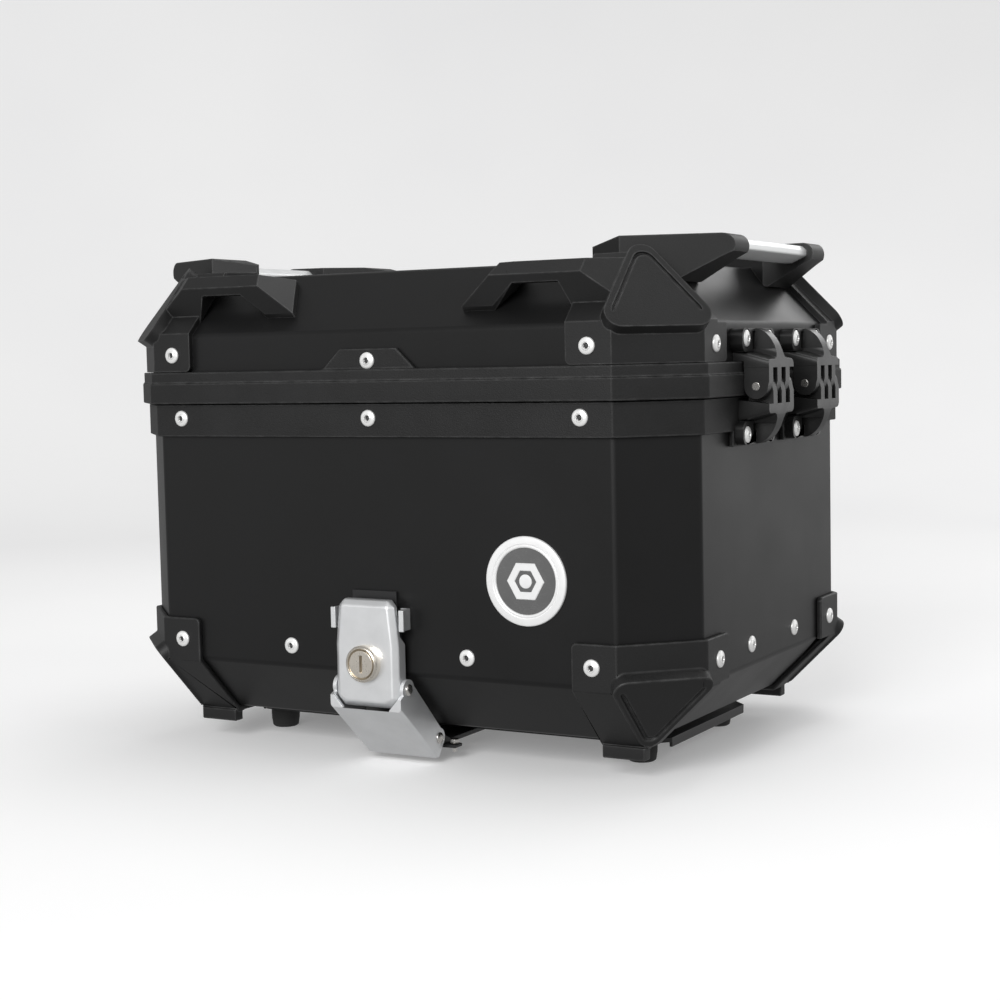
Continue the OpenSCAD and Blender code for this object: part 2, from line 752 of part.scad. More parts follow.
// Catch on the body for the mounting latch: a plate with two hooked legs for the cam
module mount_catch() {
    color([0.03, 0.03, 0.03]) difference() {
        on_mount() {
            translate([-16, -2, mount_lock_z + 16]) cube([32, 2 - gap, 27]);
            both_x() {
                translate([16.8, -4.2, mount_lock_z - 8]) cube([1.6, 4.2 - gap, 36]);
                translate([12, -4.2, mount_lock_z - 8]) cube([5, 1.5, 26]);
                translate([15, -2, mount_lock_z + 16]) cube([3, 2 - gap, 12]);
            }
        }
        at_catch_rivets() rivet_hole();
    }
}

// Bright hooked ears beside the cover
module mount_catch_ears() {
    color("silver") on_mount() both_x() {
        translate([18.5, -1.8, mount_lock_z + 20]) cube([5.6, 1.8 - gap, 13]);
        translate([cover_w + 0.3, -11, mount_lock_z + 20]) cube([1.8, 11 - gap, 13]);
        translate([cover_w + 0.3, -11, mount_lock_z + 20]) cube([3.4, 1.8, 13]);
    }
}

// Two lugs on the lid frame that the lid latch's cam holds down
module lid_catch() {
    color([0.03, 0.03, 0.03]) on_lid_latch() both_x()
        translate([10, -2.6, z_part - lid_pivot_z + 1]) cube([8, 2.6, lid_lock_z - 4.5 -
            (z_part - lid_pivot_z + 1)]);
}

// Bracket on the body that carries the lid latch's link between its two ears
module lid_latch_bracket() {
    inner = link_in - 0.3;
    depth = lid_wall - hx;
    color([0.03, 0.03, 0.03]) difference() {
        on_lid_latch() {
            translate([-inner, depth - 3, lid_low[1] - 9]) cube([2 * inner, 3 - gap, 26]);
            both_x() translate([inner - 2.5, 0, 0]) rotate([90, 0, 90]) linear_extrude(2.5) {
                translate(lid_low) circle(5.6);
                polygon([[lid_low[0], lid_low[1] - 5], [depth - 1, lid_low[1] - 9],
                    [depth - 1, lid_low[1] + 17], [lid_low[0], lid_low[1] + 5]]);
            }
        }
        on_lid_latch() cross_pin(lid_low, latch_pin_r + run, 80);
        at_bracket_rivets() rivet_hole();
    }
}

// Rivets that hold the catch plate and the lid latch's bracket on the body
module at_catch_rivets(out = 0) {
    for (x = [-8, 8]) on_front(x, mount_pivot_z + mount_lock_z + 24, out) children();
}
module at_bracket_rivets(out = 0) {
    for (y = [-12, 12]) for (z = [lid_low[1] - 3, lid_low[1] + 11])
        translate([-hx - out, y, lid_pivot_z + z]) rotate([0, -90, 0]) children();
}
module latch_rivets() {
    color("silver") {
        at_catch_rivets(2) rivet(2 + sheet);
        at_bracket_rivets(3) rivet(3 + sheet);
    }
}

// ---------- mounting plate ----------

module plate_plan() {
    x = plate_w / 2;
    y = plate_d / 2;
    c = 12;
    polygon([[x, y - c], [x - c, y], [c - x, y], [-x, y - c],
        [-x, c - y], [c - x, -y], [x - c, -y], [x, c - y]]);
}
module base_plate() {
    color([0.04, 0.04, 0.04]) translate([0, 0, plate_z]) difference() {
        union() {
            linear_extrude(plate_t) plate_plan();
            for (x = [-1, 1]) translate([x * (plate_w / 2 - 1) - 1, 12 - plate_d / 2, -3])
                cube([2, plate_d - 24, 4]);
        }
        for (x = [-1, 1]) for (y = [-1, 1]) translate([x * bolt_dx / 2, y * bolt_dy / 2, -1])
            cylinder(r = bolt_hole_r, h = 9);
        for (x = [-14, 14]) translate([x, -plate_d / 2 + 9, -1]) cylinder(r = 3.1, h = 9);
    }
}

module foot(sx, sy) {
    color([0.02, 0.02, 0.02]) translate([sx * foot_x, sy * foot_y, 0]) rotate_extrude()
        polygon([[0, 0], [7.5, 0], [8.8, 1], [9.6, 6], [9.8, foot_h - gap], [0, foot_h - gap]]);
}
module foot_front_right() foot(1, -1);
module foot_front_left() foot(-1, -1);
module foot_rear_right() foot(1, 1);
module foot_rear_left() foot(-1, 1);

// Pads under the body that rest on the mounting plate
module mount_pads() {
    color([0.02, 0.02, 0.02]) for (x = [-1, 1]) for (y = [-1, 1])
        translate([x * 55, y * 48, plate_z + plate_t + gap]) cylinder(r = 11, h = pad_h - 2 * gap);
}

// Hooks at the rear of the body that grip the edge of the mounting plate
module rear_hooks() {
    y = plate_d / 2;
    color([0.03, 0.03, 0.03]) for (x = [-60, 60]) translate([x - 15, 0, 0])
        rotate([90, 0, 90]) linear_extrude(30) polygon([[y + 12, body_z - gap],
            [y - 12, body_z - gap], [y - 12, body_z - 3], [y + 1, body_z - 3],
            [y + 1, plate_z - gap], [y - 8, plate_z - gap], [y - 8, plate_z - 3],
            [y + 5, plate_z - 3], [y + 5, body_z - 3], [y + 12, body_z - 3]]);
}

// Bracket bolted on the plate that carries the mounting latch's link
module latch_bracket() {
    inner = link_in - 0.3;
    low_y = -hy + mount_low[0];
    low_z = mount_pivot_z + mount_low[1];
    color([0.04, 0.04, 0.04]) difference() {
        union() {
            translate([-inner, low_y + 9, plate_z - 3]) cube([2 * inner,
                -plate_d / 2 + 18 - low_y - 9, 3 - gap]);
            both_x() translate([inner - 2.5, 0, 0]) rotate([90, 0, 90]) linear_extrude(2.5) {
                translate([low_y, low_z]) circle(6);
                polygon([[low_y, low_z - 5.4], [low_y + 9, lug_z], [low_y + 18, lug_z],
                    [low_y + 18, plate_z - gap], [low_y, low_z + 5.4]]);
            }
            both_x() translate([inner - 2.5, low_y + 9, lug_z]) cube([11, 9, 2]);
        }
        translate([0, low_y, low_z]) rotate([0, 90, 0])
            cylinder(r = latch_pin_r + run, h = 80, center = true);
        for (x = [-14, 14]) translate([x, -plate_d / 2 + 9, 0]) cylinder(r = 3.1, h = 30);
        both_x() translate([lug_bolt[0], low_y + lug_bolt[1], 0]) cylinder(r = 1.6, h = 30);
    }
}

// Hex bolt standing on z = 0, of head radius r and height h, with its shank below
module hex_bolt(r, h, shank_r, shank) {
    cylinder(r = r, h = h, $fn = 6);
    translate([0, 0, -shank]) cylinder(r = shank_r, h = shank + 0.5);
}

// Places of the bracket's two bolts through the plate, and of the small one on each lug
module at_plate_bolts() {
    for (x = [-14, 14]) translate([x, -plate_d / 2 + 9, plate_z + plate_t]) children();
}
module at_lug_bolts() {
    both_x() translate([lug_bolt[0], -hy + mount_low[0] + lug_bolt[1], lug_z + 2]) children();
}
module bracket_bolts() {
    color("silver") {
        at_plate_bolts() translate([0, 0, 1.7]) hex_bolt(5, 3.4, 3, 10.7);
        at_lug_bolts() translate([0, 0, 0.9]) hex_bolt(3.3, 2.4, 1.5, 6);
    }
}
module spring_washers() {
    color("silver") {
        at_plate_bolts() translate([0, 0, gap]) spring_washer(4.8, 3.1, 1.6);
        at_lug_bolts() translate([0, 0, gap]) spring_washer(3.1, 1.6, 0.8);
    }
}
module spring_washer(outer, inner, h) {
    difference() {
        cylinder(r = outer, h = h);
        translate([0, 0, -1]) cylinder(r = inner, h = h + 2);
        translate([0, -0.4, -1]) cube([outer + 1, 0.8, h + 2]);
    }
}

body_shell();
bottom_pan();
body_collar();
guard_front_right();
guard_front_left();
guard_rear_right();
guard_rear_left();
body_rivets();
badge_ring();
badge_disc();
hinge_lower_front();
hinge_lower_rear();
hinge_pin_front();
hinge_pin_rear();
hinge_lower_screws();
mount_catch();
mount_catch_ears();
base_plate();
foot_front_right();
foot_front_left();
foot_rear_right();
foot_rear_left();
mount_pads();
rear_hooks();
latch_bracket();
mount_pin_lower();
bracket_bolts();
spring_washers();
latch_rivets();
lid_shell();
lid_frame();
lid_seal();
lid_corner_front_right();
lid_corner_front_left();
lid_corner_rear_right();
lid_corner_rear_left();
rail_tube_right();
rail_tube_left();
lid_rivets();
hinge_upper_front();
hinge_upper_rear();
hinge_upper_screws();
lid_catch();
mount_link();
mount_pin_upper();
mount_cover();
mount_lock_ring();
mount_lock_plug();
mount_lock_cam();
lid_latch_bracket();
lid_pin_lower();
lid_link();
lid_pin_upper();
lid_latch_cover();
lid_lock_ring();
lid_lock_plug();
lid_lock_cam();
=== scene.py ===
"""Looks of the hard motorcycle top case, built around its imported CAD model.

Everything is in metres in the CAD frame: +Z up, the wide front face along -Y, the hinges on +X.
"""

import json
import math

import bmesh
import bpy
from mathutils import Matrix, Vector
from mathutils.bvhtree import BVHTree


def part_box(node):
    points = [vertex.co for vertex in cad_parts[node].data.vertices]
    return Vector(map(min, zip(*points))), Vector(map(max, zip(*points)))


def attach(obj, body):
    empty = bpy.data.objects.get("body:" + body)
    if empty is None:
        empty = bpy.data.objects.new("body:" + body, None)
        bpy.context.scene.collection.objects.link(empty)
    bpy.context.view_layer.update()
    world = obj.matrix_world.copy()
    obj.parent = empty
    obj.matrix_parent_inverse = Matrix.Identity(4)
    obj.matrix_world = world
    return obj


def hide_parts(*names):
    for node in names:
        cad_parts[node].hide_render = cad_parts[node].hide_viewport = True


MM = 0.001
X, Y, Z = 0, 1, 2
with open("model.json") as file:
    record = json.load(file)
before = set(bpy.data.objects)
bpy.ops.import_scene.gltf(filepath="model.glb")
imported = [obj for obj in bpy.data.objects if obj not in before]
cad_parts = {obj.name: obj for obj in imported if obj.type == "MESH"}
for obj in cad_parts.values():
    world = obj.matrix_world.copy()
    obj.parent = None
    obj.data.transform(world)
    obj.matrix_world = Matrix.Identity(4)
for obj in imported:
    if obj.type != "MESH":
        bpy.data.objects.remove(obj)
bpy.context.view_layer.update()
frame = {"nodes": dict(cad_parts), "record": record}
NODES = frame["nodes"]
BODY_OF = {n: b for b, ns in frame["record"]["behaviour"]["bodies"].items() for n in ns}
SLOT_OF = {s["node"]: s["material_slot"] for s in frame["record"]["subparts"]}


# ---------- materials ----------

# noise and cell scales count waves per metre; bump distances and edge radii are in metres


class Nodes:
    """Short calls to build one material's node tree around its Principled shader."""

    def __init__(self, name):
        self.material = bpy.data.materials.new(name)
        self.material.use_nodes = True
        self.tree = self.material.node_tree
        self.shader = self.tree.nodes["Principled BSDF"]
        self.where = self.add("ShaderNodeTexCoord").outputs["Object"]

    def add(self, kind, **settings):
        node = self.tree.nodes.new(kind)
        for key, value in settings.items():
            setattr(node, key, value)
        return node

    def set(self, **inputs):
        """Shader inputs by name, with _ for a space; a value or another node's output."""
        for key, value in inputs.items():
            self.plug(value, self.shader.inputs[key.replace("_", " ")])

    def plug(self, value, socket):
        if isinstance(value, bpy.types.NodeSocket):
            self.tree.links.new(value, socket)
        else:
            socket.default_value = value

    def noise(self, scale, detail, rough=0.5, stretch=None):
        where = self.where
        if stretch:
            mapping = self.add("ShaderNodeMapping")
            mapping.inputs["Scale"].default_value = stretch
            self.plug(where, mapping.inputs["Vector"])
            where = mapping.outputs["Vector"]
        node = self.add("ShaderNodeTexNoise")
        self.plug(where, node.inputs["Vector"])
        node.inputs["Scale"].default_value = scale
        node.inputs["Detail"].default_value = detail
        node.inputs["Roughness"].default_value = rough
        return node.outputs["Fac"]

    def cells(self, scale):
        node = self.add("ShaderNodeTexVoronoi")
        self.plug(self.where, node.inputs["Vector"])
        node.inputs["Scale"].default_value = scale
        return node.outputs["Distance"]

    def ramp(self, value, low, high, out_low, out_high):
        """Maps low to out_low and high to out_high, and clamps beyond them."""
        node = self.add("ShaderNodeMapRange")
        self.plug(value, node.inputs["Value"])
        names = ("From Min", "From Max", "To Min", "To Max")
        for name, number in zip(names, (low, high, out_low, out_high)):
            node.inputs[name].default_value = number
        return node.outputs["Result"]

    def mix(self, factor, a, b):
        """Colour a where the factor is 0 and colour b where it is 1."""
        node = self.add("ShaderNodeMix", data_type="RGBA")
        self.plug(factor, node.inputs[0])
        self.plug(a, node.inputs[6])
        self.plug(b, node.inputs[7])
        return node.outputs[2]

    def math(self, operation, a, b):
        node = self.add("ShaderNodeMath", operation=operation)
        self.plug(a, node.inputs[0])
        self.plug(b, node.inputs[1])
        return node.outputs[0]

    def bump(self, height, distance, strength, under=None):
        node = self.add("ShaderNodeBump")
        self.plug(height, node.inputs["Height"])
        node.inputs["Distance"].default_value = distance
        node.inputs["Strength"].default_value = strength
        if under is not None:
            self.plug(under, node.inputs["Normal"])
        return node.outputs["Normal"]

    def edges(self, radius):
        """1 on edges sharper than the radius and 0 on flat ground."""
        bevel = self.add("ShaderNodeBevel", samples=4)
        bevel.inputs["Radius"].default_value = radius
        geometry = self.add("ShaderNodeNewGeometry")
        dot = self.add("ShaderNodeVectorMath", operation="DOT_PRODUCT")
        self.plug(bevel.outputs["Normal"], dot.inputs[0])
        self.plug(geometry.outputs["Normal"], dot.inputs[1])
        return self.ramp(dot.outputs["Value"], 0.995, 0.95, 0.0, 1.0)


def rgb(r, g=None, b=None):
    """A colour with its alpha, grey if only one number is given."""
    return (r, r if g is None else g, r if b is None else b, 1.0)


def powder_coat(name, base, rough):
    """Baked powder paint: a fine orange peel, tiny pits, and a slightly uneven sheen."""
    m = Nodes(name)
    peel = m.noise(950, 3, 0.6)
    fine = m.noise(3600, 2, 0.5)
    cloud = m.noise(14, 3, 0.6)
    tone = m.ramp(cloud, 0.3, 0.7, 0.0, 1.0)
    sheen = m.math("ADD", cloud, m.math("MULTIPLY", fine, 0.5))
    m.set(
        Base_Color=m.mix(tone, rgb(base * 0.9), rgb(base * 1.1, base * 1.1, base * 1.16)),
        Roughness=m.ramp(sheen, 0.5, 1.1, rough - 0.04, rough + 0.05),
        Specular_IOR_Level=0.3,
        Normal=m.bump(fine, 0.00004, 0.5, m.bump(peel, 0.00006, 0.55)),
    )
    return m.material


EDGE_HIGHLIGHT = 12.0  # how many times lighter the painted highlight on the edges of moulded nylon is than its faces


def moulded(name, base, rough, grain):
    """Moulded nylon: spark-eroded grain, glossier edges, and a painted highlight along them."""
    m = Nodes(name)
    grit = m.cells(1100)
    fine = m.noise(1700, 3, 0.65)
    cloud = m.noise(22, 4, 0.6)
    # edge mask: the edges get a painted highlight in the colour, and are also made a little
    # glossier
    edge_gloss_and_highlight = m.math("MULTIPLY", m.edges(0.0014), m.ramp(m.noise(160, 3), 0.35, 0.65, 0.3, 1.0))
    fleck = m.ramp(m.math("ADD", cloud, fine), 0.8, 1.2, 0.0, 1.0)
    dark = rgb(base * (1 - 0.35 * grain))
    light = rgb(base * (1 + 0.4 * grain), base * (1 + 0.4 * grain), base * (1.05 + 0.4 * grain))
    sheen = m.math("SUBTRACT", cloud, m.math("MULTIPLY", edge_gloss_and_highlight, 0.5))
    m.set(
        # painted highlight: the edges are mixed towards a much lighter colour
        Base_Color=m.mix(edge_gloss_and_highlight, m.mix(fleck, dark, light), rgb(base * EDGE_HIGHLIGHT)),
        Roughness=m.ramp(sheen, 0.0, 1.0, rough - 0.05, rough + 0.07),
        Specular_IOR_Level=0.42,
        Normal=m.bump(fine, 0.00008 * grain, 0.6, m.bump(grit, 0.0001 * grain, 0.5)),
    )
    return m.material


def gloss_plastic(name, base, rough):
    """Glossy moulded plastic with faint flow marks and fine dust scratches."""
    m = Nodes(name)
    flow = m.noise(60, 4, 0.6)
    hair = m.noise(400, 2, 0.5, stretch=(1, 1, 14))
    sheen = m.math("ADD", flow, m.math("MULTIPLY", hair, 0.6))
    m.set(
        Base_Color=m.mix(flow, rgb(base * 0.8), rgb(base * 1.25)),
        Roughness=m.ramp(sheen, 0.5, 1.2, rough, rough + 0.14),
        Specular_IOR_Level=0.55,
        Normal=m.bump(flow, 0.00012, 0.35, m.bump(hair, 0.00001, 0.6)),
    )
    return m.material


def cast_metal(name, colour, rough):
    """Silver lacquer over a die casting: fine metallic grain with a soft sheen."""
    m = Nodes(name)
    grain = m.noise(2200, 3, 0.6)
    cloud = m.noise(45, 4, 0.6)
    tone = m.ramp(cloud, 0.3, 0.7, 0.0, 1.0)
    m.set(
        Base_Color=m.mix(tone, rgb(*(c * 0.95 for c in colour)), rgb(*(c * 1.04 for c in colour))),
        Metallic=0.8,
        Roughness=m.ramp(m.math("ADD", cloud, grain), 0.7, 1.3, rough - 0.03, rough + 0.06),
        Coat_Weight=0.15,
        Coat_Roughness=0.3,
        Normal=m.bump(grain, 0.00003, 0.5),
    )
    return m.material


def bare_metal(name, colour, rough, lines=None, metallic=1.0):
    """Bare or plated metal. Lines are the stretch of its brushing, long across small factors."""
    m = Nodes(name)
    smear = m.noise(120, 4, 0.65)
    brush = m.noise(1800, 2, 0.6, stretch=lines or (1, 1, 1))
    sheen = m.math("ADD", brush, m.math("MULTIPLY", smear, 0.6))
    m.set(
        Base_Color=m.mix(smear, rgb(*(c * 0.9 for c in colour)), rgb(*colour)),
        Metallic=metallic,
        Roughness=m.ramp(sheen, 0.5, 1.1, rough, rough + 0.12),
        Normal=m.bump(brush, 0.00002, 0.5 if lines else 0.25),
    )
    return m.material


def soft_rubber(name, base):
    """Matt rubber with a dusty bloom."""
    m = Nodes(name)
    bloom = m.noise(55, 5, 0.65)
    pores = m.noise(1700, 3, 0.6)
    m.set(
        Base_Color=m.mix(m.ramp(bloom, 0.4, 0.75, 0.0, 1.0), rgb(base), rgb(base * 2.1)),
        Roughness=m.ramp(bloom, 0.3, 0.7, 0.72, 0.9),
        Normal=m.bump(pores, 0.00008, 0.6),
    )
    return m.material


FINISH = {
    "powder_coated_sheet": powder_coat("powder_coat", 0.005, 0.42),
    "corner_plastic": moulded("corner_nylon", 0.0055, 0.5, grain=0.7),
    "frame_plastic": moulded("frame_grain", 0.005, 0.58, grain=1.8),
    "rivet_steel": bare_metal("rivet_head", (0.97, 0.97, 0.96), 0.28, metallic=0.45),
    "badge_metal": bare_metal("badge_rim", (0.95, 0.95, 0.95), 0.3, metallic=0.25),
    "badge_face": gloss_plastic("badge_resin", 0.11, 0.2),
    "pin_steel": bare_metal("bright_steel", (0.72, 0.7, 0.67), 0.2),
    "hinge_plastic": gloss_plastic("hinge_gloss", 0.006, 0.3),
    "black_steel": powder_coat("black_steel", 0.02, 0.38),
    "rubber": soft_rubber("rubber", 0.012),
    "anodised_tube": bare_metal("anodised_tube", (0.86, 0.87, 0.87), 0.3, lines=(1, 0.02, 1),
                                metallic=0.4),
    "latch_casting": cast_metal("silver_casting", (0.86, 0.87, 0.88), 0.36),
    "lock_nickel": bare_metal("warm_nickel", (0.78, 0.73, 0.65), 0.24, lines=(1, 1, 0.1)),
}
MANDREL = bare_metal("mandrel", (0.05, 0.05, 0.05), 0.5, metallic=0.3)


# ---------- shapes ----------

SHARP = math.radians(28)  # edges that turn more than this are rounded
COPLANAR = math.radians(0.1)  # faces that turn less than this are joined into one
STRAY = 0.8  # how far a rounded corner may leave the CAD shape, as a share of the bevel
TURNED_CREASE = math.radians(50)  # turned faces that meet at more than this stay sharp
LINK_ROLL = 1.9 * MM
LINK_LONG_EDGE = 8 * MM  # the shortest edge of a link that is rolled


def add_object(mesh, node):
    """Puts a mesh in the scene, riding on a CAD node's body with its slot and finish."""
    obj = bpy.data.objects.new(mesh.name, mesh)
    bpy.context.scene.collection.objects.link(obj)
    mesh.materials.append(FINISH[SLOT_OF[node]])
    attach(obj, BODY_OF[node])
    return obj


def welded(node):
    """A CAD node's mesh as a bmesh, with its doubled corners joined."""
    bm = bmesh.new()
    bm.from_mesh(NODES[node].data)
    bmesh.ops.remove_doubles(bm, verts=bm.verts, dist=0.002 * MM)
    return bm


def plain_mesh(bm, name):
    """A new smooth-shaded mesh with only a bmesh's geometry. The bmesh is freed."""
    bm.verts.index_update()
    faces = [[v.index for v in f.verts] for f in bm.faces]
    mesh = bpy.data.meshes.new(name)
    mesh.from_pydata([v.co[:] for v in bm.verts], [], faces)
    mesh.update()
    mesh.shade_smooth()
    bm.free()
    return mesh


def keep_flats(obj):
    """Shades the rounded edges only, so that the flats between them stay flat."""
    flats = obj.modifiers.new("flat", "WEIGHTED_NORMAL")
    flats.weight = 80
    return flats


def round_edges(obj, width, segments):
    """Rounds the sharp edges by the widest bevel that stays on the shape."""
    corners = [v.co for v in obj.data.vertices]
    before = BVHTree.FromPolygons(corners, [p.vertices for p in obj.data.polygons])
    bevel = obj.modifiers.new("round", "BEVEL")
    bevel.segments = segments
    bevel.limit_method = "ANGLE"
    bevel.angle_limit = SHARP
    bevel.use_clamp_overlap = False
    for share in (1, 0.75, 0.55, 0.4, 0.25, 0.12):
        bevel.width = width * share
        bpy.context.view_layer.update()
        shaped = obj.evaluated_get(bpy.context.evaluated_depsgraph_get()).data
        if all(before.find_nearest(v.co)[3] <= STRAY * bevel.width for v in shaped.vertices):
            break
    keep_flats(obj).keep_sharp = True


def roll_long_edges(bm, across):
    """Rolls a link's long outer edges, where its front plate turns into the side plates."""
    half = max(abs(v.co[across]) for v in bm.verts)
    rolled = []
    for edge in bm.edges:
        if len(edge.link_faces) != 2 or edge.calc_length() < LINK_LONG_EDGE:
            continue
        if any(abs(abs(v.co[across]) - half) > 0.01 * MM for v in edge.verts):
            continue
        sides = [abs(f.normal[across]) > 0.95 for f in edge.link_faces]
        if sides.count(True) == 1 and edge.calc_face_angle(0) > math.radians(60) and edge.is_convex:
            rolled.append(edge)
    bmesh.ops.bevel(bm, geom=rolled, offset=LINK_ROLL, segments=4, profile=0.5, affect="EDGES")


def refine(node, width, segments=2, link_across=None):
    """Stands a copy in for a CAD node, with its edges rounded by a width in mm.

    A link also has its long edges rolled, and link_across is the axis across its front plate.
    """
    bm = welded(node)
    bmesh.ops.dissolve_limit(bm, angle_limit=COPLANAR, verts=bm.verts, edges=bm.edges)
    if link_across is not None:
        roll_long_edges(bm, link_across)
    obj = add_object(plain_mesh(bm, node + "_finish"), node)
    round_edges(obj, width * MM, segments)
    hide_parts(node)


def turned(place, r, angle, z):
    """A point by its radius, angle and height round the +Z of a frame, in mm."""
    return place @ Vector((r * math.cos(angle) * MM, r * math.sin(angle) * MM, z * MM))


def lathe(bm, profile, place, steps=40):
    """Turns a profile of (radius, height) in mm round +Z, then places it. Returns its faces."""
    rings = []
    for r, z in profile:
        turns = range(steps if r else 1)
        rings.append([bm.verts.new(turned(place, r, t * math.tau / steps, z)) for t in turns])
    faces = []
    for low, high in zip(rings, rings[1:]):
        for i in range(steps):
            j = (i + 1) % steps
            corners = [low[i % len(low)], low[j % len(low)],
                       high[j % len(high)], high[i % len(high)]]
            faces.append(bm.faces.new(list(dict.fromkeys(corners))))  # a tip gives a triangle
    return faces


def finish_lathe(bm, node, *extras):
    """Stands turned faces in for a CAD node, in its own finish and then the extra materials."""
    bmesh.ops.remove_doubles(bm, verts=bm.verts, dist=0.001 * MM)
    bmesh.ops.recalc_face_normals(bm, faces=bm.faces)
    indices = [f.material_index for f in bm.faces]
    mesh = plain_mesh(bm, node + "_finish")
    obj = add_object(mesh, node)
    for material in extras:
        mesh.materials.append(material)
    for polygon, index in zip(mesh.polygons, indices):
        polygon.material_index = index
    mesh.set_sharp_from_angle(angle=TURNED_CREASE)
    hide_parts(node)


def islands(node):
    """The box of each separate solid in a CAD node, as pairs of corners."""
    bm = welded(node)
    seen, boxes = set(), []
    for start in bm.verts:
        if start in seen:
            continue
        seen.add(start)
        group, todo = [], [start]
        while todo:
            v = todo.pop()
            group.append(v.co.copy())
            for edge in v.link_edges:
                other = edge.other_vert(v)
                if other not in seen:
                    seen.add(other)
                    todo.append(other)
        boxes.append([Vector(f(c[k] for c in group) for k in (X, Y, Z)) for f in (min, max)])
    bm.free()
    return boxes


def outward(low, high, axis):
    """A frame at the outer end of a box: +Z along the axis, away from the case's middle."""
    middle = (low + high) / 2
    sign = 1 if middle[axis] > 0 else -1
    direction = Vector((0, 0, 0))
    direction[axis] = sign
    middle[axis] = high[axis] if sign > 0 else low[axis]
    return Matrix.Translation(middle) @ direction.to_track_quat("Z", "Y").to_matrix().to_4x4()


# profiles in mm: radius, and height from the crown
RIVET_DIAMETER = 10
RIVET_HEAD = [(2, -2.1), (5.05, -2.1), (5.1, -1.7), (4.95, -1.2), (4.5, -0.85), (3.7, -0.62),
              (2.9, -0.5), (2.6, -0.42), (2.45, -0.12), (2.15, 0), (1.95, -0.05), (1.8, -0.4),
              (1.7, -1.7)]
RIVET_CORE = [(1.7, -1.7), (1.2, -1.6), (1.05, -1.1), (0.7, -0.95), (0, -0.9)]
# the same for the bulge behind the sheet, with heights from the rivet's inner end
RIVET_BULGE = [(0, 0), (1.2, 0), (2.5, 0.7), (2.9, 1.6), (2.7, 2.6), (2, 3)]


def rivets(node):
    """Blind rivets: a flat dome, a raised collar, and the broken mandrel down its hole."""
    bm = bmesh.new()
    for low, high in islands(node):
        size = high - low
        axis = max((X, Y), key=lambda k: abs(size[k] - RIVET_DIAMETER * MM))
        place = outward(low, high, axis)
        bulge = [(r, z - size[axis] / MM) for r, z in RIVET_BULGE]
        for face in lathe(bm, bulge + RIVET_HEAD, place):
            face.material_index = 0
        for face in lathe(bm, RIVET_CORE, place, steps=24):
            face.material_index = 1
    finish_lathe(bm, node, MANDREL)


SHEET = 1.5 * MM
SHEET_FOLD = 2.2 * MM
CORNER_CUT = 37.5 * MM  # of the upright corners, and of the fold round the closed end


def folded_sheet(node):
    """The body or the lid as bent sheet: soft folds and an even thickness, open at its rim."""
    low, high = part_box(node)
    x, y, _ = high
    in_x, in_y = x - CORNER_CUT, y - CORNER_CUT
    up = node == "lid_shell"
    rim, flat = (low[Z], high[Z]) if up else (high[Z], low[Z])
    turn = flat - CORNER_CUT if up else flat + CORNER_CUT
    plan = [(x, -in_y), (x, in_y), (in_x, y), (-in_x, y),
            (-x, in_y), (-x, -in_y), (-in_x, -y), (in_x, -y)]
    end_plan = [(in_x, -in_y), (in_x, in_y), (-in_x, in_y), (-in_x, -in_y)]
    bm = bmesh.new()
    edge_ring = [bm.verts.new((px, py, rim)) for px, py in plan]
    fold_ring = [bm.verts.new((px, py, turn)) for px, py in plan]
    end = [bm.verts.new((px, py, flat)) for px, py in end_plan]
    for i in range(8):
        j = (i + 1) % 8
        bm.faces.new((edge_ring[i], edge_ring[j], fold_ring[j], fold_ring[i]))
    for k in range(4):
        a, b, c = fold_ring[2 * k], fold_ring[2 * k + 1], fold_ring[(2 * k + 2) % 8]
        bm.faces.new((a, b, end[(k + 1) % 4], end[k]))
        bm.faces.new((b, c, end[(k + 1) % 4]))
    bm.faces.new(end)
    bmesh.ops.recalc_face_normals(bm, faces=bm.faces)
    folds = [e for e in bm.edges if not e.is_boundary]
    bmesh.ops.bevel(bm, geom=folds, offset=SHEET_FOLD, segments=4, profile=0.5, affect="EDGES")
    closed_end = max(bm.faces, key=lambda f: f.calc_center_median().z * (1 if up else -1))
    if (closed_end.normal.z > 0) != up:
        bmesh.ops.reverse_faces(bm, faces=bm.faces)
    obj = add_object(plain_mesh(bm, node + "_finish"), node)
    sheet = obj.modifiers.new("sheet", "SOLIDIFY")
    sheet.thickness = SHEET
    sheet.offset = -1
    keep_flats(obj)
    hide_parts(node)


# profiles in mm: radius, and height from the badge's highest point
BADGE_RIM = [(19.6, -1.9), (26.45, -1.9), (26.45, -0.8), (26.1, -0.35), (25.5, -0.15),
             (22.2, -0.05), (21.95, -0.35), (21.5, -0.4), (21.25, -0.1), (20.9, 0), (20.2, -0.05),
             (19.9, -0.3), (19.6, -0.9), (19.6, -1.9)]
BADGE_FACE = [(0, -1.9), (19.55, -1.9), (19.55, -0.8), (16, -0.62), (10, -0.5), (0, -0.45)]
EMBLEM_RING = [(12.4, -0.6), (11.9, -0.1), (7.5, -0.1), (7.0, -0.6)]
EMBLEM_BOSS = [(4.2, -0.55), (4.0, -0.2), (3.2, -0.05), (0, 0)]
EMBLEM_CREASE = math.radians(20)


